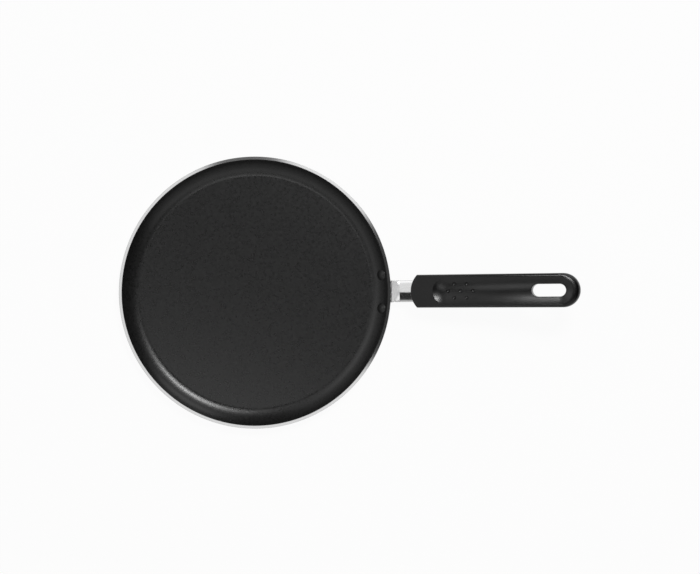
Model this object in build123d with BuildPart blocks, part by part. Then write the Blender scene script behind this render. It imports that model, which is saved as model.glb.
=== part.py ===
from build123d import *
from math import asin, cos, degrees, radians, sin
import os

# Crepe pan, in millimetres and degrees. The pan stands on z = 0 with its axis on +Z, and the handle points to +X.

# Pan body: one pressing, with a flat floor, a crease where the wall starts, and a low flared wall cut square at the lip.
rim_r = 125.0
pan_height = 14.0
sheet_t = 3.7
wall_angle = 54.0
crease_r = 7.0
crease_angle = 12.0
corner_r = 20.0
lip_chamfer = 0.4
groove_count = 5
groove_first_r = 36.0
groove_pitch = 15.0
groove_w = 1.6
groove_depth = 0.35

# Coating: a dark skin on the inside, up to the bare lip.
coat_t = 0.3

# Rivets: domed heads inside, formed tails outside.
rivet_pitch = 30.5
rivet_below_lip = 7.0
rivet_head_r = 4.8
rivet_head_h = 2.3
rivet_head_edge_h = 0.7
rivet_shank_r = 2.5
rivet_tail_r = 4.0
rivet_tail_h = 1.5
rivet_tail_chamfer = 0.5

# Bracket: ears on the wall, a bend under the lip, a crowned arm and a tang.
strap_t = 2.0
strap_w = 20.0
strap_crown_r = 40.0
strap_edge_r = 0.6
ear_r = 5.3
ear_neck_r = 3.0
strap_bend_above_rivet = 5.0
strap_bend_r = 4.5
arm_angle = 14.0
arm_flat_l = 1.2
arm_change_l = 5.0
tang_l = 30.0
tang_corner_r = 4.0

# Handle: a heat-proof moulding, set on the tang.
arm_l = 18.0
tang_below_top = 8.0
handle_l = 155.3
handle_w_front = 30.2
handle_w_rear = 30.8
handle_t_front = 18.0
handle_t_rear = 10.5
handle_nose = 5.9
top_round_front = 1.0
top_round_rear = 2.8
top_round_end = 4.2
top_round_nose = 0.8
top_round_share = 0.2
low_round_front = 5.0
low_round_rear = 6.0
low_round_end = 6.5
low_round_nose = 1.5
low_round_share = 0.45

# Thumb dish and channel in the handle's top.
dish_from_nose = 20.8
dish_w = 24.6
dish_depth = 2.6
dish_to_end = 6.3
dimple_from_nose = 34.9
dimple_pitch = 11.4
dimple_row_gap = 6.2
dimple_ball_r = 2.2
dimple_depth = 0.8

# Hanging slot.
slot_l = 31.2
slot_w = 11.4
slot_to_end = 12.9
slot_edge_r = 0.8

# Screw, washer and nut.
screw_from_nose = 15.0
screw_r = 2.5
screw_head_r = 4.6
screw_head_h = 2.8
screw_head_round_r = 1.2
screw_cross_w = 1.2
screw_cross_l = 5.2
screw_cross_depth = 1.6
screw_floor_t = 2.2
screw_past_nut = 0.4
washer_r = 4.4
washer_t = 1.2
washer_split_w = 0.8
washer_split_angle = 20.0
nut_w = 8.0
nut_t = 4.0
nut_corner_r = 0.8

# Fits: metal seats with fit_gap, and the moulding's pockets leave pocket_gap.
fit_gap = 0.05
pocket_gap = 0.3
overrun = 5.0

os.makedirs("parts", exist_ok=True)


# The wall's lines, worked out from the sizes above. lip_r is where the coated face ends at the lip.
wall_sin, wall_cos = sin(radians(wall_angle)), cos(radians(wall_angle))
crease_sin, crease_cos = sin(radians(crease_angle)), cos(radians(crease_angle))
wall_t = sheet_t + coat_t
lip_r = rim_r - wall_t * wall_sin + lip_chamfer * min(wall_sin, wall_cos)
wall_rise = pan_height - wall_t - crease_r * (1 - crease_cos) - corner_r * (crease_cos - wall_cos)
wall_straight = wall_rise / wall_sin
floor_r = lip_r - wall_straight * wall_cos - corner_r * (wall_sin - crease_sin) - crease_r * crease_sin
corner_centre_r = floor_r + (crease_r - corner_r) * crease_sin
corner_centre_z = wall_t + crease_r - (crease_r - corner_r) * crease_cos
corner_outer_r = corner_r + wall_t


def wall_place(depth, below_lip):
    """Radius, height and slope of the point depth outside the coated face, below_lip down it from the lip."""
    slope = wall_angle - degrees(max(below_lip - wall_straight, 0) / corner_r)
    straight = min(below_lip, wall_straight)
    turn_sin, turn_cos = sin(radians(slope)), cos(radians(slope))
    radius = lip_r - straight * wall_cos - corner_r * (wall_sin - turn_sin) + depth * turn_sin
    height = pan_height - straight * wall_sin - corner_r * (turn_cos - wall_cos) - depth * turn_cos
    return radius, height, slope


def wall_lines(depth):
    """Adds the line of the floor and wall, depth outside the coated face, from the axis out to the lip."""
    flat = Line((0, wall_t - depth), (floor_r, wall_t - depth))
    crease = JernArc(flat @ 1, (1, 0), crease_r + depth, crease_angle)
    corner = JernArc(crease @ 1, crease % 1, corner_r + depth, wall_angle - crease_angle)
    lip = (lip_r + depth * wall_sin, pan_height - depth * wall_cos)
    Line(corner @ 1, lip)
    return lip


def wall_loop(inner, outer):
    """Adds the outline of the floor and wall between two depths."""
    Line(wall_lines(inner), wall_lines(outer))
    Line((0, wall_t - inner), (0, wall_t - outer))


# Rivet places: each rivet stands square to the wall, its own origin on the coated face and +Z into the pan.
rivet_r, rivet_z, rivet_slope = wall_place(0, rivet_below_lip)
rivet_sin, rivet_cos = sin(radians(rivet_slope)), cos(radians(rivet_slope))
rivet_azimuth = degrees(asin(rivet_pitch / 2 / rivet_r))
rivet_grip = wall_t + strap_t + 2 * fit_gap


def rivet_plane(side):
    azimuth = radians(side * rivet_azimuth)
    origin = (rivet_r * cos(azimuth), rivet_r * sin(azimuth), rivet_z)
    inward = (-rivet_sin * cos(azimuth), -rivet_sin * sin(azimuth), rivet_cos)
    return Plane(origin=origin, x_dir=(-sin(azimuth), cos(azimuth), 0), z_dir=inward)


def rivet_holes():
    """Cuts both rivets' holes through the part that is being built."""
    with Locations(*(rivet_plane(side).offset(overrun) for side in (-1, 1))):
        Hole(rivet_shank_r + fit_gap, depth=overrun + rivet_grip + overrun)


# Pan body
with BuildPart() as pan_body:
    with BuildSketch(Plane.XZ):
        with BuildLine():
            wall_loop(coat_t, wall_t)
        make_face()
        chamfer(vertices().sort_by(Axis.X)[-1], lip_chamfer)
    revolve(axis=Axis.Z)
    with BuildSketch(Plane.XZ):
        for ring in range(groove_count):
            with Locations((groove_first_r + ring * groove_pitch, 0)):
                Polygon((-groove_w / 2, 0), (0, groove_depth), (groove_w / 2, 0), (0, -groove_depth), align=None)
    revolve(axis=Axis.Z, mode=Mode.SUBTRACT)
    rivet_holes()

# Non-stick coating
with BuildPart() as nonstick_coating:
    with BuildSketch(Plane.XZ):
        with BuildLine():
            wall_loop(0, coat_t)
        make_face()
    revolve(axis=Axis.Z)
    rivet_holes()

# What the rivets grip, as one blank without holes: coating, wall and ears. It shapes the rivets' seats.
with BuildPart() as grip_blank:
    with BuildSketch(Plane.XZ):
        with BuildLine():
            wall_loop(0, rivet_grip)
        make_face()
    revolve(axis=Axis.Z)


# Rivets
def make_rivet(side):
    plane = rivet_plane(side)
    section = Plane(origin=plane.origin, x_dir=plane.x_dir, z_dir=-plane.y_dir)
    axis = Axis(plane.origin, plane.z_dir)
    with BuildPart() as rivet:
        with BuildSketch(section):
            with BuildLine():
                Line((0, rivet_head_h), (0, -coat_t))
                Line((0, -coat_t), (rivet_head_r, -coat_t))
                Line((rivet_head_r, -coat_t), (rivet_head_r, rivet_head_edge_h))
                RadiusArc(
                    (rivet_head_r, rivet_head_edge_h),
                    (0, rivet_head_h),
                    -(rivet_head_r**2 + (rivet_head_h - rivet_head_edge_h) ** 2)
                    / (2 * (rivet_head_h - rivet_head_edge_h)),
                )
            make_face()
        revolve(axis=axis)
        with BuildSketch(plane.offset(-rivet_grip - rivet_tail_h)):
            Circle(rivet_tail_r)
        extrude(amount=rivet_tail_h + strap_t)
        tail_rim = edges().filter_by(GeomType.CIRCLE).sort_by(axis)[0]
        chamfer(tail_rim, rivet_tail_chamfer)
        add(grip_blank.part, mode=Mode.SUBTRACT)
        with BuildSketch(plane.offset(-rivet_grip)):
            Circle(rivet_shank_r)
        extrude(amount=rivet_grip + rivet_head_edge_h)
    return rivet


rivet_left = make_rivet(1)
rivet_right = make_rivet(-1)

# The strap's top line: up the wall, round the bend, then out along the arm.
bend_r, bend_z, _ = wall_place(wall_t + fit_gap, rivet_below_lip - strap_bend_above_rivet)
arm_sin, arm_cos = sin(radians(arm_angle)), cos(radians(arm_angle))
arm_x = bend_r + strap_bend_r * (wall_sin - arm_sin)
arm_z = bend_z - strap_bend_r * (wall_cos - arm_cos)
arm_start = Plane(origin=(arm_x, 0, arm_z), x_dir=(0, 1, 0), z_dir=(arm_cos, 0, arm_sin))
arm_axis = Axis(arm_start.origin, arm_start.z_dir)


def strap_lines(depth):
    """Adds the strap's line depth below its top, from the ear's low edge to the arm, and returns its ends."""
    low = radians(rivet_slope) - 2 * ear_r / corner_outer_r
    ear_face_r = corner_outer_r + fit_gap + depth
    start = (corner_centre_r + ear_face_r * sin(low), corner_centre_z - ear_face_r * cos(low))
    corner = JernArc(start, (cos(low), sin(low)), ear_face_r, wall_angle - degrees(low))
    upright = Line(corner @ 1, (bend_r + depth * wall_sin, bend_z - depth * wall_cos))
    bend = JernArc(upright @ 1, upright % 1, strap_bend_r - depth, arm_angle - wall_angle)
    arm = PolarLine(bend @ 1, 2 * arm_flat_l, arm_angle)
    return corner @ 0, arm @ 1


def crown_lines(gap=0):
    """Adds the outline of the arm's crowned section, grown by gap, with the crown's top at the plane's origin."""
    half = asin(strap_w / 2 / strap_crown_r) + gap / strap_crown_r

    def crown_arc(radius):
        side = Vector(radius * sin(half), radius * cos(half) - strap_crown_r)
        return ThreePointArc((-side.X, side.Y), (0, radius - strap_crown_r), (side.X, side.Y))

    top, low = crown_arc(strap_crown_r + gap), crown_arc(strap_crown_r - strap_t - gap)
    Line(top @ 0, low @ 0)
    Line(top @ 1, low @ 1)


# The ears' outline is drawn on the wall, seen square from outside: +X across the pan and +Y up the wall.
ear_mid_r, ear_mid_z, _ = wall_place(wall_t, rivet_below_lip)
ear_plane = Plane(origin=(ear_mid_r, 0, ear_mid_z), x_dir=(0, 1, 0), z_dir=(rivet_sin, 0, -rivet_cos))
ear_drop = (rivet_r - rivet_r * cos(radians(rivet_azimuth))) * rivet_cos
ear_turn = radians(-2 * rivet_azimuth)
ear_section = Plane(
    origin=(0, 0, 0), x_dir=(cos(ear_turn), sin(ear_turn), 0), z_dir=(sin(ear_turn), -cos(ear_turn), 0)
)

# Handle: +X along its top towards the far end, +Y across, +Z out of its top, from the nose's middle.
handle_plane = Plane(
    origin=arm_start.origin + arm_start.z_dir * arm_l + arm_start.y_dir * tang_below_top,
    x_dir=arm_start.z_dir,
    z_dir=arm_start.y_dir,
)
handle_axis = Axis(handle_plane.origin, handle_plane.x_dir)
handle_side = Plane(origin=handle_plane.origin, x_dir=handle_plane.x_dir, z_dir=-handle_plane.y_dir)
screw_plane = Plane(
    origin=handle_plane.origin + handle_plane.x_dir * screw_from_nose,
    x_dir=handle_plane.x_dir,
    z_dir=handle_plane.z_dir,
)
screw_axis = Axis(screw_plane.origin, screw_plane.z_dir)

# The tang's end, seen from above: +X along the tang.
tang_end = Plane(
    origin=arm_start.offset(arm_l + tang_l).origin, x_dir=handle_plane.x_dir, z_dir=handle_plane.z_dir
)

# Handle bracket
with BuildPart() as handle_bracket:
    with BuildSketch(ear_section):
        with BuildLine():
            top_ends = strap_lines(0)
            low_ends = strap_lines(strap_t)
            Line(top_ends[0], low_ends[0])
            Line(top_ends[1], low_ends[1])
        make_face()
    revolve(axis=Axis.Z, revolution_arc=4 * rivet_azimuth)
    with BuildSketch(ear_plane.offset(-ear_r - overrun)):
        with Locations((0, -ear_drop)):
            SlotCenterToCenter(rivet_pitch, 2 * ear_r)
        with Locations((0, strap_w / 2)):
            Rectangle(strap_w, strap_w)
        fillet(vertices().group_by(Axis.Y)[-2], ear_neck_r)
    extrude(amount=2 * (ear_r + overrun), mode=Mode.INTERSECT)
    rivet_holes()
    split(bisect_by=arm_start.offset(arm_flat_l), keep=Keep.BOTTOM)
    neck_end = faces().sort_by(arm_axis)[-1]
    with BuildSketch(arm_start.offset(arm_flat_l + arm_change_l), mode=Mode.PRIVATE) as crown:
        with BuildLine():
            crown_lines()
        make_face()
        fillet(vertices(), strap_edge_r)
    loft(sections=[neck_end, crown.sketch.face()])
    extrude(crown.sketch.face(), amount=arm_l + tang_l - arm_flat_l - arm_change_l, dir=arm_start.z_dir)
    with BuildSketch(tang_end):
        Rectangle(2 * tang_corner_r, strap_w + 2 * overrun)
        with Locations((-tang_corner_r, 0)):
            SlotOverall(strap_w, 2 * tang_corner_r, rotation=90, mode=Mode.SUBTRACT)
            Rectangle(
                2 * tang_corner_r, strap_w + 2 * overrun, align=(Align.MAX, Align.CENTER), mode=Mode.SUBTRACT
            )
    extrude(amount=strap_w, both=True, mode=Mode.SUBTRACT)
    with Locations(screw_plane):
        Hole(screw_r + pocket_gap, depth=handle_t_front)


# Handle
def handle_outline(share, front, rear, end, nose):
    """A level outline, share of the way down the handle's thickness, drawn in by the four given insets."""
    slope = share * (handle_t_front - handle_t_rear) / handle_l
    level = Plane(
        origin=handle_plane.offset(-share * handle_t_front).origin,
        x_dir=handle_plane.x_dir + handle_plane.z_dir * slope,
        z_dir=handle_plane.z_dir - handle_plane.x_dir * slope,
    )
    end_r = handle_w_rear / 2
    with BuildSketch(level) as outline:
        with BuildLine():
            nose_arc = ThreePointArc(
                (handle_nose + nose / 2, handle_w_front / 2 - front),
                (nose, 0),
                (handle_nose + nose / 2, front - handle_w_front / 2),
            )
            end_arc = EllipticalCenterArc(
                (handle_l - end_r, 0), end_r - end, end_r - rear, start_angle=-90, arc_size=180
            )
            Line(nose_arc @ 1, end_arc @ 0)
            Line(end_arc @ 1, nose_arc @ 0)
        make_face()
    return outline.sketch.face()


handle_levels = []
for turn in (0, 30, 60, 90):
    inset, down = 1 - sin(radians(turn)), 1 - cos(radians(turn))
    handle_levels.append(
        handle_outline(
            top_round_share * down,
            top_round_front * inset,
            top_round_rear * inset,
            top_round_end * inset,
            top_round_nose * inset,
        )
    )
for turn in (90, 60, 30, 0):
    inset, up = 1 - sin(radians(turn)), 1 - cos(radians(turn))
    handle_levels.append(
        handle_outline(
            1 - low_round_share * up,
            low_round_front * inset,
            low_round_rear * inset,
            low_round_end * inset,
            low_round_nose * inset,
        )
    )

# The dish and channel are the lower side of a long round-ended roller laid along the handle.
dish_r = (dish_w**2 / 4 + dish_depth**2) / (2 * dish_depth)
dish_axis_h = dish_r - dish_depth
dish_first = dish_from_nose + dish_w / 2
dish_last = handle_l - dish_to_end - dish_w / 2

# Screw levels, measured down from the handle's top along the screw.
tang_low = tang_below_top + strap_t
screw_seat = tang_low + pocket_gap + screw_floor_t
screw_under_head = screw_seat + washer_t
screw_top = tang_below_top - fit_gap - nut_t - screw_past_nut


def dimple_places():
    """Ball centres of the dimples: a middle row of three between two rows of two, each ball set into the dish."""
    centre_r = dish_r + dimple_depth - dimple_ball_r
    for row, count in ((-1, 2), (0, 3), (1, 2)):
        turn = asin(row * dimple_row_gap / dish_r)
        first = dimple_from_nose + (3 - count) * dimple_pitch / 2
        for step in range(count):
            yield handle_plane.from_local_coords(
                (first + step * dimple_pitch, centre_r * sin(turn), dish_axis_h - centre_r * cos(turn))
            )


with BuildPart() as handle:
    loft(sections=handle_levels)
    with BuildSketch(handle_side):
        with BuildLine():
            bottom = Line((dish_first, -dish_depth), (dish_last, -dish_depth))
            front_end = RadiusArc(bottom @ 0, (dish_first - dish_r, dish_axis_h), dish_r)
            rear_end = RadiusArc(bottom @ 1, (dish_last + dish_r, dish_axis_h), -dish_r)
            Line(front_end @ 1, rear_end @ 1)
        make_face()
    revolve(axis=Axis(handle_plane.offset(dish_axis_h).origin, handle_plane.x_dir), mode=Mode.SUBTRACT)

    with Locations(*dimple_places()):
        Sphere(dimple_ball_r, mode=Mode.SUBTRACT)
    with BuildSketch(handle_plane):
        with Locations((handle_l - slot_to_end - slot_l / 2, 0)):
            SlotOverall(slot_l, slot_w)
    extrude(amount=-handle_t_front - overrun, mode=Mode.SUBTRACT)
    slot_rims = edges(Select.LAST).filter_by(screw_axis, reverse=True)
    slot_start = handle_l - slot_to_end - slot_l - overrun
    fillet(slot_rims.filter_by_position(handle_axis, slot_start, handle_l), slot_edge_r)
    with BuildSketch(arm_start.offset(arm_l - overrun)):
        with BuildLine():
            crown_lines(pocket_gap)
        make_face()
    extrude(amount=overrun + tang_l + pocket_gap, mode=Mode.SUBTRACT)
    with BuildSketch(arm_start.offset(arm_l - overrun)):
        with Locations((0, -strap_t / 2)):
            Rectangle(
                nut_w + 2 * pocket_gap,
                strap_t / 2 + nut_t + screw_past_nut + 2 * pocket_gap,
                align=(Align.CENTER, Align.MIN),
            )
    extrude(amount=overrun + screw_from_nose + nut_w / 2 + pocket_gap, mode=Mode.SUBTRACT)
    with Locations(Plane(origin=screw_plane.offset(-handle_t_front).origin, z_dir=-screw_plane.z_dir)):
        CounterBoreHole(
            radius=screw_r + pocket_gap,
            counter_bore_radius=screw_head_r + 2 * pocket_gap,
            counter_bore_depth=handle_t_front - screw_seat,
            depth=handle_t_front - tang_low,
        )

# Handle screw: a pan head with a cross recess, below the handle.
with BuildPart() as handle_screw:
    with BuildSketch(screw_plane.offset(-screw_under_head)):
        Circle(screw_r)
    extrude(amount=screw_under_head - screw_top)
    with BuildSketch(screw_plane.offset(-screw_under_head)):
        Circle(screw_head_r)
    extrude(amount=-screw_head_h)
    fillet(edges().filter_by(GeomType.CIRCLE).sort_by(screw_axis)[0], screw_head_round_r)
    with BuildSketch(screw_plane.offset(-screw_under_head - screw_head_h)):
        Rectangle(screw_cross_l, screw_cross_w)
        Rectangle(screw_cross_w, screw_cross_l)
    extrude(amount=screw_cross_depth, mode=Mode.SUBTRACT)

# Spring washer: a split ring under the screw's head.
with BuildPart() as spring_washer:
    with BuildSketch(screw_plane.offset(-screw_under_head)):
        Circle(washer_r)
        Circle(screw_r + pocket_gap, mode=Mode.SUBTRACT)
    extrude(amount=washer_t)
    slit = Plane(
        origin=screw_plane.offset(washer_t / 2 - screw_under_head).origin,
        x_dir=screw_plane.y_dir,
        z_dir=screw_plane.x_dir,
    )
    with BuildSketch(slit):
        Rectangle(washer_split_w, 2 * washer_r, rotation=washer_split_angle)
    extrude(amount=washer_r + overrun, mode=Mode.SUBTRACT)

# Tang nut: a square nut welded on the tang.
with BuildPart() as tang_nut:
    with BuildSketch(screw_plane.offset(fit_gap - tang_below_top)):
        RectangleRounded(nut_w, nut_w, nut_corner_r)
        Circle(screw_r + fit_gap, mode=Mode.SUBTRACT)
    extrude(amount=nut_t)

for node, piece in {
    "pan_body": pan_body,
    "nonstick_coating": nonstick_coating,
    "rivet_left": rivet_left,
    "rivet_right": rivet_right,
    "handle_bracket": handle_bracket,
    "handle": handle,
    "tang_nut": tang_nut,
    "spring_washer": spring_washer,
    "handle_screw": handle_screw,
}.items():
    piece.part.label = node
    export_step(piece.part, f"parts/{node}.step")
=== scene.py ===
from math import asin, cos, pi, radians, sin, tan

import bmesh
import bpy
from mathutils import Matrix, Vector


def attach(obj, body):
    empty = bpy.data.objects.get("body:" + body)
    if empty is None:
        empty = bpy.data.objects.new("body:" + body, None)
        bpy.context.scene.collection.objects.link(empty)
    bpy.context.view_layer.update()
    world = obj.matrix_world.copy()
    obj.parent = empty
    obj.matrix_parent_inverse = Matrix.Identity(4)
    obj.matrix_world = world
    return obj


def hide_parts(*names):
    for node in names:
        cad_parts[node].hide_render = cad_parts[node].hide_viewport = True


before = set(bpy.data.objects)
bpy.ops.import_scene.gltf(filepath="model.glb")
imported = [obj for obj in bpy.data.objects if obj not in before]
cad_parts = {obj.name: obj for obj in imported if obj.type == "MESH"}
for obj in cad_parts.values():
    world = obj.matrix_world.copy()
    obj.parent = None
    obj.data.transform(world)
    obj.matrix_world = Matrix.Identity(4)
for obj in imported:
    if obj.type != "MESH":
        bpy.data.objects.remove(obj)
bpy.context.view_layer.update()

# Camera: straight above the pan and far enough away to look along its axis, turned a little so that
# the handle lies as it does in the picture. The picture is 700 pixels wide.
mm = 0.001
picture_w_px = 700
focal_px = 2000
mm_per_px = 0.9173
rim_h = 14 * mm
view_middle = (87.36 * mm, 4.4 * mm)
roll = radians(-0.48)
view_end = 20
camera_data = bpy.data.cameras.new("camera")
camera_data.sensor_width = 36
camera_data.lens = focal_px * camera_data.sensor_width / picture_w_px
camera_data.clip_end = view_end
camera = bpy.data.objects.new("camera", camera_data)
camera.location = (*view_middle, rim_h + focal_px * mm_per_px * mm)
camera.rotation_euler = (0, 0, roll)
bpy.context.scene.collection.objects.link(camera)
bpy.context.scene.camera = camera
bpy.context.scene.view_settings.view_transform = "Standard"


class Signal:
    """A value in one node tree. Arithmetic on it adds Math nodes, and make adds any other node."""

    def __init__(self, tree, socket=None):
        self.tree, self.socket = tree, socket

    def make(self, kind, settings=None, inputs=None, output=0):
        node = self.tree.nodes.new("ShaderNode" + kind)
        for name, value in (settings or {}).items():
            if name == "stops":
                ramp = node.color_ramp.elements
                while len(ramp) < len(value):
                    ramp.new(1)
                for stop, (place, colour) in zip(ramp, value):
                    stop.position, stop.color = place, colour
            else:
                setattr(node, name, value)
        for name, value in (inputs or {}).items():
            if isinstance(value, Signal):
                self.tree.links.new(node.inputs[name], value.socket)
            else:
                node.inputs[name].default_value = value
        return Signal(self.tree, node.outputs[output] if node.outputs else None)

    def part(self, output):
        return Signal(self.tree, self.socket.node.outputs[output])

    def math(self, operation, first, second=0.0):
        return self.make("Math", {"operation": operation}, {0: first, 1: second})

    def __add__(self, other):
        return self.math("ADD", self, other)

    def __sub__(self, other):
        return self.math("SUBTRACT", self, other)

    def __rsub__(self, other):
        return self.math("SUBTRACT", other, self)

    def __mul__(self, other):
        return self.math("MULTIPLY", self, other)

    __radd__, __rmul__ = __add__, __mul__


def new_finish(name):
    material = bpy.data.materials.new(name)
    material.use_nodes = True
    material.node_tree.nodes.clear()
    return material, Signal(material.node_tree)


def grey(level):
    return (level, level, level, 1.0)


# Studio: a pale floor, grey walls that grow brighter upwards and a dark ceiling, with softboxes hung in it.
# The floor shows white to the camera and in the metal, keeps a faint shadow and is clear from below.
floor_w = 8.0
floor_albedo = 0.8
glow_share = 0.94
floor_bm = bmesh.new()
bmesh.ops.create_grid(floor_bm, x_segments=1, y_segments=1, size=floor_w / 2)
floor_mesh = bpy.data.meshes.new("floor")
floor_bm.to_mesh(floor_mesh)
floor_bm.free()
floor = bpy.data.objects.new("floor", floor_mesh)
bpy.context.scene.collection.objects.link(floor)
floor_paint, paint = new_finish("floor_paint")
path = paint.make("LightPath")
seen = path.part("Is Camera Ray") + path.part("Is Glossy Ray") + path.part("Is Transmission Ray")
matt = paint.make("BsdfDiffuse", inputs={"Color": grey(floor_albedo)})
glow = paint.make("Emission", inputs={"Color": grey(1.0), "Strength": 1.0})
top_side = paint.make("MixShader", inputs={0: seen * glow_share, 1: matt, 2: glow})
clear = paint.make("BsdfTransparent")
below = paint.make("NewGeometry", output="Backfacing")
paint.make("OutputMaterial", inputs={"Surface": paint.make("MixShader", inputs={0: below, 1: top_side, 2: clear})})
floor_mesh.materials.append(floor_paint)

# The walls' brightness by the sine of the elevation, with a dark gap to the right and one at the back.
# A gap's stops are the cosine of the angle to its middle.
wall_stops = [(0.2, grey(0.28)), (0.47, grey(0.45)), (0.64, grey(0.75)), (0.79, grey(0.75)), (0.83, grey(0.02))]
right_stops = [(0.78, grey(1.0)), (0.86, grey(0.05))]
back_stops = [(0.945, grey(1.0)), (0.975, grey(0.16))]
back_azimuth = radians(97)
world = bpy.data.worlds.new("studio")
bpy.context.scene.world = world
world.use_nodes = True
world.node_tree.nodes.clear()
sky = Signal(world.node_tree)
direction = sky.make("TexCoord", output="Generated")
across = sky.make("SeparateXYZ", inputs={0: direction})
east, north, height = across.part("X"), across.part("Y"), across.part("Z")
level = sky.math("SQRT", east * east + north * north)
to_right = sky.math("DIVIDE", east, level)
to_back = sky.math("DIVIDE", north * sin(back_azimuth) + east * cos(back_azimuth), level)
by_height = sky.make("ValToRGB", {"stops": wall_stops}, {0: height})
right_gap = sky.make("ValToRGB", {"stops": right_stops}, {0: to_right})
back_gap = sky.make("ValToRGB", {"stops": back_stops}, {0: to_back})
walls = by_height * right_gap * back_gap
sky_path = sky.make("LightPath")
backdrop = sky.make("Background", inputs={"Color": grey(1.0), "Strength": 1.0})
air = sky.make("Background", inputs={"Color": walls, "Strength": 1.0})
dome = sky.make("MixShader", inputs={0: sky_path.part("Is Camera Ray"), 1: air, 2: backdrop})
sky.make("OutputWorld", inputs={"Surface": dome})

# Area lamps, each in a direction from the object's middle, facing it and hidden from the camera:
# azimuth and elevation in degrees, distance and size in metres, radiance.
lamps = {
    "key": (66, 64, 1.84, (0.38, 0.19), 25.4),
    "key_foot": (72, 58, 1.84, (0.19, 0.19), 11.3),
    "key_halo": (60, 62, 1.9, (0.47, 0.47), 11.5),
    "far_wall": (60, 11.3, 1.9, (1.0, 1.0), 1.1),
    "front_left": (225, 74, 1.9, (0.42, 0.42), 2.0),
    "front": (270, 74, 1.9, (0.42, 0.42), 2.05),
    "front_low": (270, 62, 1.9, (1.2, 0.4), 0.22),
    "panel": (153, 59.3, 1.9, (0.9, 0.9), 0.8),
}
object_middle = Vector((60 * mm, 0, 0))
for name, (azimuth, elevation, reach, size, radiance) in lamps.items():
    lamp = bpy.data.lights.new(name, "AREA")
    lamp.shape = "RECTANGLE"
    lamp.size, lamp.size_y = size
    lamp.energy = radiance * pi * size[0] * size[1]
    turn, rise = radians(azimuth), radians(elevation)
    away = Vector((cos(rise) * cos(turn), cos(rise) * sin(turn), sin(rise)))
    box = bpy.data.objects.new(name, lamp)
    box.location = object_middle + reach * away
    box.rotation_euler = (-away).to_track_quat("-Z", "Y").to_euler()
    box.visible_camera = False
    bpy.context.scene.collection.objects.link(box)

# Pan body: one thick aluminium pressing with a flat floor, a crease where the low flared wall starts and
# a bare, polished lip. The base is turned flat, with five shallow rings round its middle. The crease is softer
# and the lip flatter than in the solid, as the picture's reflections have them.
rim_r = 125 * mm
pan_height = rim_h
sheet_t = 3.7 * mm
coat_t = 0.3 * mm
crease_r = 10 * mm
corner_r = 20 * mm
crease_angle = radians(12)
wall_angle = radians(54)
lip_chamfer = 0.4 * mm
lip_tilt = radians(22)
lip_w = 2.78 * mm
lip_outer_round = 0.5 * mm
lip_support = 0.25 * mm
sharp_edge = radians(40)
support = 0.4 * mm
groove_count = 5
groove_first_r = 36 * mm
groove_pitch = 15 * mm
groove_w = 1.6 * mm
groove_depth = 0.35 * mm
pan_turns = 256
crease_steps = 6
corner_steps = 24
round_steps = 6
groove_steps = 8

wall_t = sheet_t + coat_t
lip_r = rim_r - wall_t * sin(wall_angle) + lip_chamfer * cos(wall_angle)
wall_rise = (
    pan_height - wall_t - crease_r * (1 - cos(crease_angle)) - corner_r * (cos(crease_angle) - cos(wall_angle))
)
wall_straight = wall_rise / sin(wall_angle)
floor_r = (
    lip_r
    - wall_straight * cos(wall_angle)
    - corner_r * (sin(wall_angle) - sin(crease_angle))
    - crease_r * sin(crease_angle)
)
crease_centre = Vector((floor_r, wall_t + crease_r))
corner_centre = crease_centre + (crease_r - corner_r) * Vector((sin(crease_angle), -cos(crease_angle)))


def wall_curve(depth):
    """Points (radius, height) from the floor's middle out to the wall's straight part, depth below the face."""
    points = [Vector((0, wall_t - depth)), Vector((floor_r - support, wall_t - depth))]
    for step in range(crease_steps + 1):
        turn = crease_angle * step / crease_steps
        points.append(crease_centre + (crease_r + depth) * Vector((sin(turn), -cos(turn))))
    for step in range(1, corner_steps + 1):
        turn = crease_angle + (wall_angle - crease_angle) * step / corner_steps
        points.append(corner_centre + (corner_r + depth) * Vector((sin(turn), -cos(turn))))
    return points


def lip_point(depth, down=0.0):
    """The point of the straight wall that is depth below the coated face and down from the lip."""
    along = Vector((cos(wall_angle), sin(wall_angle)))
    outward = Vector((sin(wall_angle), -cos(wall_angle)))
    return Vector((lip_r, pan_height)) + outward * depth - along * down


def round_corner(before, corner, after, radius):
    """Points of an arc that rounds a corner of the profile."""
    back, on = (before - corner).normalized(), (after - corner).normalized()
    half = back.angle(on) / 2
    centre = corner + radius / sin(half) * (back + on).normalized()
    first = corner + back * radius / tan(half) - centre
    last = corner + on * radius / tan(half) - centre
    turn = first.angle(last)
    return [
        centre + (first * sin(turn * (1 - step / round_steps)) + last * sin(turn * step / round_steps)) / sin(turn)
        for step in range(round_steps + 1)
    ]


def spun(name, profile, turns, finishes):
    """A closed mesh turned about the Z axis from points (radius, height)."""
    bm = bmesh.new()
    verts = [bm.verts.new((point[0], 0, point[1])) for point in profile]
    edges = [bm.edges.new(pair) for pair in zip(verts, verts[1:])]
    bmesh.ops.spin(
        bm, geom=verts + edges, cent=(0, 0, 0), axis=(0, 0, 1), angle=2 * pi, steps=turns, use_merge=True
    )
    bmesh.ops.remove_doubles(bm, verts=bm.verts, dist=1e-7)
    bmesh.ops.recalc_face_normals(bm, faces=bm.faces)
    mesh = bpy.data.meshes.new(name)
    bm.to_mesh(mesh)
    bm.free()
    for finish in finishes:
        mesh.materials.append(finish)
    mesh.shade_smooth()
    mesh.set_sharp_from_angle(angle=sharp_edge)
    piece = bpy.data.objects.new(name, mesh)
    bpy.context.scene.collection.objects.link(piece)
    return piece


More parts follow.
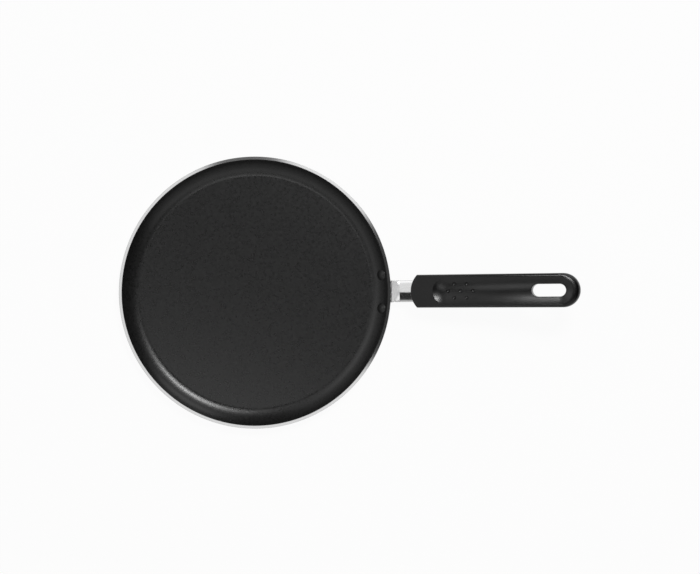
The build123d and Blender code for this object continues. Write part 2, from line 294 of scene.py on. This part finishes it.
base_top = 0.4 * mm
base_darker = 0.18
metal_finish, metal = new_finish("turned_aluminium")
metal_place = metal.make("TexCoord", output="Object")
metal_parts = metal.make("SeparateXYZ", inputs={0: metal_place})
metal_x, metal_y = metal_parts.part("X"), metal_parts.part("Y")
metal_radius = metal.math("SQRT", metal_x * metal_x + metal_y * metal_y)
tool_marks = metal.make(
    "TexNoise", {"noise_dimensions": "1D"}, {"W": metal_radius, "Scale": 2600.0, "Detail": 3.0, "Roughness": 0.6}
)
cloud = metal.make("TexNoise", inputs={"Vector": metal_place, "Scale": 60.0, "Detail": 3.0})
on_base = metal.math("LESS_THAN", metal_parts.part("Z"), base_top)
metal_rough = 0.13 + on_base * 0.13 + cloud * 0.06
metal_tone = metal.make("ValToRGB", {"stops": [(0.25, grey(0.87)), (0.75, grey(0.93))]}, {0: tool_marks})
metal_bump = metal.make("Bump", inputs={"Height": tool_marks * on_base, "Distance": 0.02 * mm, "Strength": 0.35})
metal_skin = metal.make(
    "BsdfPrincipled",
    inputs={
        "Base Color": metal_tone * (1.0 - on_base * base_darker),
        "Metallic": 1.0,
        "Roughness": metal_rough,
        "Normal": metal_bump,
    },
)
metal.make("OutputMaterial", inputs={"Surface": metal_skin})

inner_lip = lip_point(coat_t)
outer_lip = inner_lip + lip_w / cos(lip_tilt) * Vector((cos(lip_tilt), -sin(lip_tilt)))
low_lip = lip_point(wall_t, 2 * support)
pan_profile = wall_curve(coat_t) + [lip_point(coat_t, support), inner_lip]
lip_run = (outer_lip - inner_lip).normalized()
pan_profile += [inner_lip + lip_run * lip_support, outer_lip - lip_run * (lip_outer_round + lip_support)]
pan_profile += round_corner(inner_lip, outer_lip, low_lip, lip_outer_round)
pan_profile += [low_lip] + wall_curve(wall_t)[:1:-1]
pan_profile += [Vector((floor_r - support, 0))]
for ring in reversed(range(groove_count)):
    middle = groove_first_r + ring * groove_pitch
    for step in range(groove_steps + 1):
        share = 1 - 2 * step / groove_steps
        pan_profile.append(Vector((middle + share * groove_w / 2, groove_depth * (1 - share**2))))
pan_profile.append(Vector((0, 0)))
pan = spun("pan_shell", pan_profile, pan_turns, [metal_finish])
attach(pan, "root")
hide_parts("pan_body")

# Non-stick coating: a dark satin skin sprayed over the whole inside and baked, with a fine orange-peel
# grain. It stops at the bare lip.
coating_finish, coat = new_finish("sprayed_coating")
coat_place = coat.make("TexCoord", output="Object")
mottle = coat.make("TexNoise", inputs={"Vector": coat_place, "Scale": 420.0, "Detail": 1.0})
peel = coat.make("TexNoise", inputs={"Vector": coat_place, "Scale": 700.0, "Detail": 1.0})
coat_tone = coat.make("ValToRGB", {"stops": [(0.3, grey(0.0075)), (0.7, grey(0.0125))]}, {0: mottle})
coat_rough = 0.245 + mottle * 0.08
coat_bump = coat.make("Bump", inputs={"Height": peel, "Distance": 0.05 * mm, "Strength": 0.03})
coat_skin = coat.make(
    "BsdfPrincipled", inputs={"Base Color": coat_tone, "Roughness": coat_rough, "Normal": coat_bump}
)
coat.make("OutputMaterial", inputs={"Surface": coat_skin})

coat_edge = 0.1 * mm
coat_profile = wall_curve(0) + [lip_point(0, support), lip_point(0, coat_edge), lip_point(coat_edge)]
coat_profile += [lip_point(coat_t), lip_point(coat_t, support)] + wall_curve(coat_t)[::-1]
coating = spun("coating_skin", coat_profile, pan_turns, [coating_finish])
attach(coating, "root")
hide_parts("nonstick_coating")

# Rivets: two aluminium rivets through coating, wall and bracket. The low domed heads inside were coated
# with the pan, and the tails outside are pressed flat and left bare.
rivet_pitch = 30.5 * mm
rivet_below_lip = 7 * mm
rivet_head_r = 4.8 * mm
rivet_head_h = 2.3 * mm
rivet_head_edge_h = 0.7 * mm
rivet_head_round = 0.35 * mm
rivet_shank_r = 2.5 * mm
rivet_tail_r = 4 * mm
rivet_tail_h = 1.5 * mm
rivet_tail_round = 0.5 * mm
rivet_turns = 48
dome_steps = 12
rivet_steps = 5
strap_t = 2 * mm
fit_gap = 0.05 * mm

rivet_finish, bare = new_finish("bare_rivet_metal")
bare_place = bare.make("TexCoord", output="Object")
dents = bare.make("TexNoise", inputs={"Vector": bare_place, "Scale": 500.0, "Detail": 4.0})
bare_tone = bare.make("ValToRGB", {"stops": [(0.3, grey(0.66)), (0.7, grey(0.76))]}, {0: dents})
bare_bump = bare.make("Bump", inputs={"Height": dents, "Distance": 0.08 * mm, "Strength": 0.3})
bare_skin = bare.make(
    "BsdfPrincipled",
    inputs={"Base Color": bare_tone, "Metallic": 1.0, "Roughness": 0.28 + dents * 0.1, "Normal": bare_bump},
)
bare.make("OutputMaterial", inputs={"Surface": bare_skin})

rivet_slope = wall_angle - (rivet_below_lip - wall_straight) / corner_r
rivet_r, rivet_z = corner_centre + corner_r * Vector((sin(rivet_slope), -cos(rivet_slope)))
rivet_azimuth = asin(rivet_pitch / 2 / rivet_r)
rivet_grip = wall_t + strap_t + 2 * fit_gap

dome_rise = rivet_head_h - rivet_head_edge_h
dome_r = (rivet_head_r**2 + dome_rise**2) / (2 * dome_rise)
dome_half = asin((rivet_head_r - rivet_head_round) / dome_r)
rivet_profile = []
for step in range(dome_steps + 1):
    turn = dome_half * step / dome_steps
    rivet_profile.append(Vector((dome_r * sin(turn), rivet_head_h - dome_r * (1 - cos(turn)))))
rim_top = rivet_profile[-1][1]
for step in range(1, rivet_steps + 1):
    turn = pi / 2 * step / rivet_steps
    rivet_profile.append(
        Vector((rivet_head_r - rivet_head_round * (1 - sin(turn)), rim_top - rivet_head_round * (1 - cos(turn))))
    )
rivet_profile += [
    Vector((rivet_head_r, -coat_t)),
    Vector((rivet_shank_r, -coat_t)),
    Vector((rivet_shank_r, strap_t - rivet_grip)),
    Vector((rivet_tail_r, strap_t - rivet_grip)),
]
tail_end = -rivet_grip - rivet_tail_h
for step in range(rivet_steps + 1):
    turn = pi / 2 * step / rivet_steps
    rivet_profile.append(
        Vector((rivet_tail_r - rivet_tail_round * (1 - cos(turn)), tail_end + rivet_tail_round * (1 - sin(turn))))
    )
rivet_profile.append(Vector((0, tail_end)))
for side, node in ((1, "rivet_left"), (-1, "rivet_right")):
    rivet = spun("set_" + node, rivet_profile, rivet_turns, [coating_finish, rivet_finish])
    for face in rivet.data.polygons:
        face.material_index = 0 if face.center.z > -coat_t - fit_gap else 1
    azimuth = side * rivet_azimuth
    inward = Vector((-sin(rivet_slope) * cos(azimuth), -sin(rivet_slope) * sin(azimuth), cos(rivet_slope)))
    along = Vector((-sin(azimuth), cos(azimuth), 0))
    seat = Matrix((along, inward.cross(along), inward)).transposed().to_4x4()
    seat.translation = (rivet_r * cos(azimuth), rivet_r * sin(azimuth), rivet_z)
    rivet.data.transform(seat)
    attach(rivet, "root")
    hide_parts(node)

# Handle bracket: a strap of bright pressed steel, riveted to the wall by two ears, bent out under the lip
# and crowned along its arm. The arm is polished like a mirror with faint lines along it, and the bend is duller.
bend_end = 133.4 * mm
bend_change_l = 1 * mm
steel_finish, steel = new_finish("bright_pressed_steel")
steel_place = steel.make("TexCoord", output="Object")
drawn = steel.make("Mapping", inputs={"Vector": steel_place, "Scale": (40.0, 1400.0, 1400.0)})
lines = steel.make("TexNoise", inputs={"Vector": drawn, "Scale": 1.0, "Detail": 3.0})
waves = steel.make("TexNoise", inputs={"Vector": steel_place, "Scale": 120.0, "Detail": 1.0})
steel_tone = steel.make("ValToRGB", {"stops": [(0.3, grey(0.80)), (0.7, grey(0.86))]}, {0: lines})
steel_bump = steel.make(
    "Bump", inputs={"Height": waves + lines * 0.02, "Distance": 0.12 * mm, "Strength": 0.06}
)
steel_x = steel.make("SeparateXYZ", inputs={0: steel_place})
in_bend = steel.make("Clamp", inputs={0: (bend_end - steel_x) * (1 / bend_change_l)})
steel_rough = 0.06 + lines * 0.06 + in_bend * 0.24
steel_skin = steel.make(
    "BsdfPrincipled",
    inputs={"Base Color": steel_tone, "Metallic": 1.0, "Roughness": steel_rough, "Normal": steel_bump},
)
steel.make("OutputMaterial", inputs={"Surface": steel_skin})
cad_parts["handle_bracket"].material_slots[0].material = steel_finish

# Handle: one black heat-proof phenolic moulding with a thumb dish, seven dimples, a channel and a hanging
# slot, slid on the tang and screwed from below. It is satin with a fine grain. Bumps turn the normals of its
# rear and domed end a little, so that the sheen there is that of a handle that flattens out.
arm_angle = radians(14)
handle_start = 143.73 * mm
droop_start = 38 * mm
droop_l = 70 * mm
droop_slope = 0.135
end_start = 139.9 * mm
end_flat_r = 9.5 * mm
end_ease = 5 * mm
end_curve = 42.0
handle_finish, moulded = new_finish("black_phenolic")
moulded_place = moulded.make("TexCoord", output="Object")
moulded_parts = moulded.make("SeparateXYZ", inputs={0: moulded_place})
along = moulded_parts.part("X") * cos(arm_angle) + moulded_parts.part("Z") * sin(arm_angle) - handle_start
past = (along - droop_start) * (1 / droop_l)
eased = moulded.make("Clamp", inputs={0: past})
droop = (eased * eased * 0.5 + moulded.math("MAXIMUM", past - 1.0, 0.0)) * (-droop_slope * droop_l)
end_x = moulded.math("MAXIMUM", along - end_start, 0.0)
end_y = moulded_parts.part("Y")
end_r = moulded.math("MAXIMUM", moulded.math("SQRT", end_x * end_x + end_y * end_y) - end_flat_r, 0.0)
end_dome = end_r * end_r * moulded.make("Clamp", inputs={0: end_x * (1 / end_ease)}) * -end_curve
flow = moulded.make("TexNoise", inputs={"Vector": moulded_place, "Scale": 90.0, "Detail": 3.0})
pores = moulded.make("TexNoise", inputs={"Vector": moulded_place, "Scale": 1800.0, "Detail": 2.0})
handle_tone = moulded.make("ValToRGB", {"stops": [(0.3, grey(0.0012)), (0.7, grey(0.002))]}, {0: flow})
grain = moulded.make("Bump", inputs={"Height": pores, "Distance": 0.02 * mm, "Strength": 0.3})
handle_bump = moulded.make(
    "Bump", inputs={"Height": droop + end_dome, "Distance": 1.0, "Strength": 1.0, "Normal": grain}
)
handle_skin = moulded.make(
    "BsdfPrincipled",
    inputs={"Base Color": handle_tone, "Roughness": 0.26 + flow * 0.06, "Normal": handle_bump},
)
moulded.make("OutputMaterial", inputs={"Surface": handle_skin})
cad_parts["handle"].material_slots[0].material = handle_finish

# Screw, spring washer and nut: plated steel, hidden in the handle's underside.
plated_finish, plated = new_finish("plated_steel")
plated_place = plated.make("TexCoord", output="Object")
tarnish = plated.make("TexNoise", inputs={"Vector": plated_place, "Scale": 700.0, "Detail": 3.0})
plated_tone = plated.make("ValToRGB", {"stops": [(0.3, grey(0.52)), (0.7, grey(0.64))]}, {0: tarnish})
plated_skin = plated.make(
    "BsdfPrincipled",
    inputs={"Base Color": plated_tone, "Metallic": 1.0, "Roughness": 0.22 + tarnish * 0.15},
)
plated.make("OutputMaterial", inputs={"Surface": plated_skin})
for node in ("handle_screw", "spring_washer", "tang_nut"):
    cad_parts[node].material_slots[0].material = plated_finish
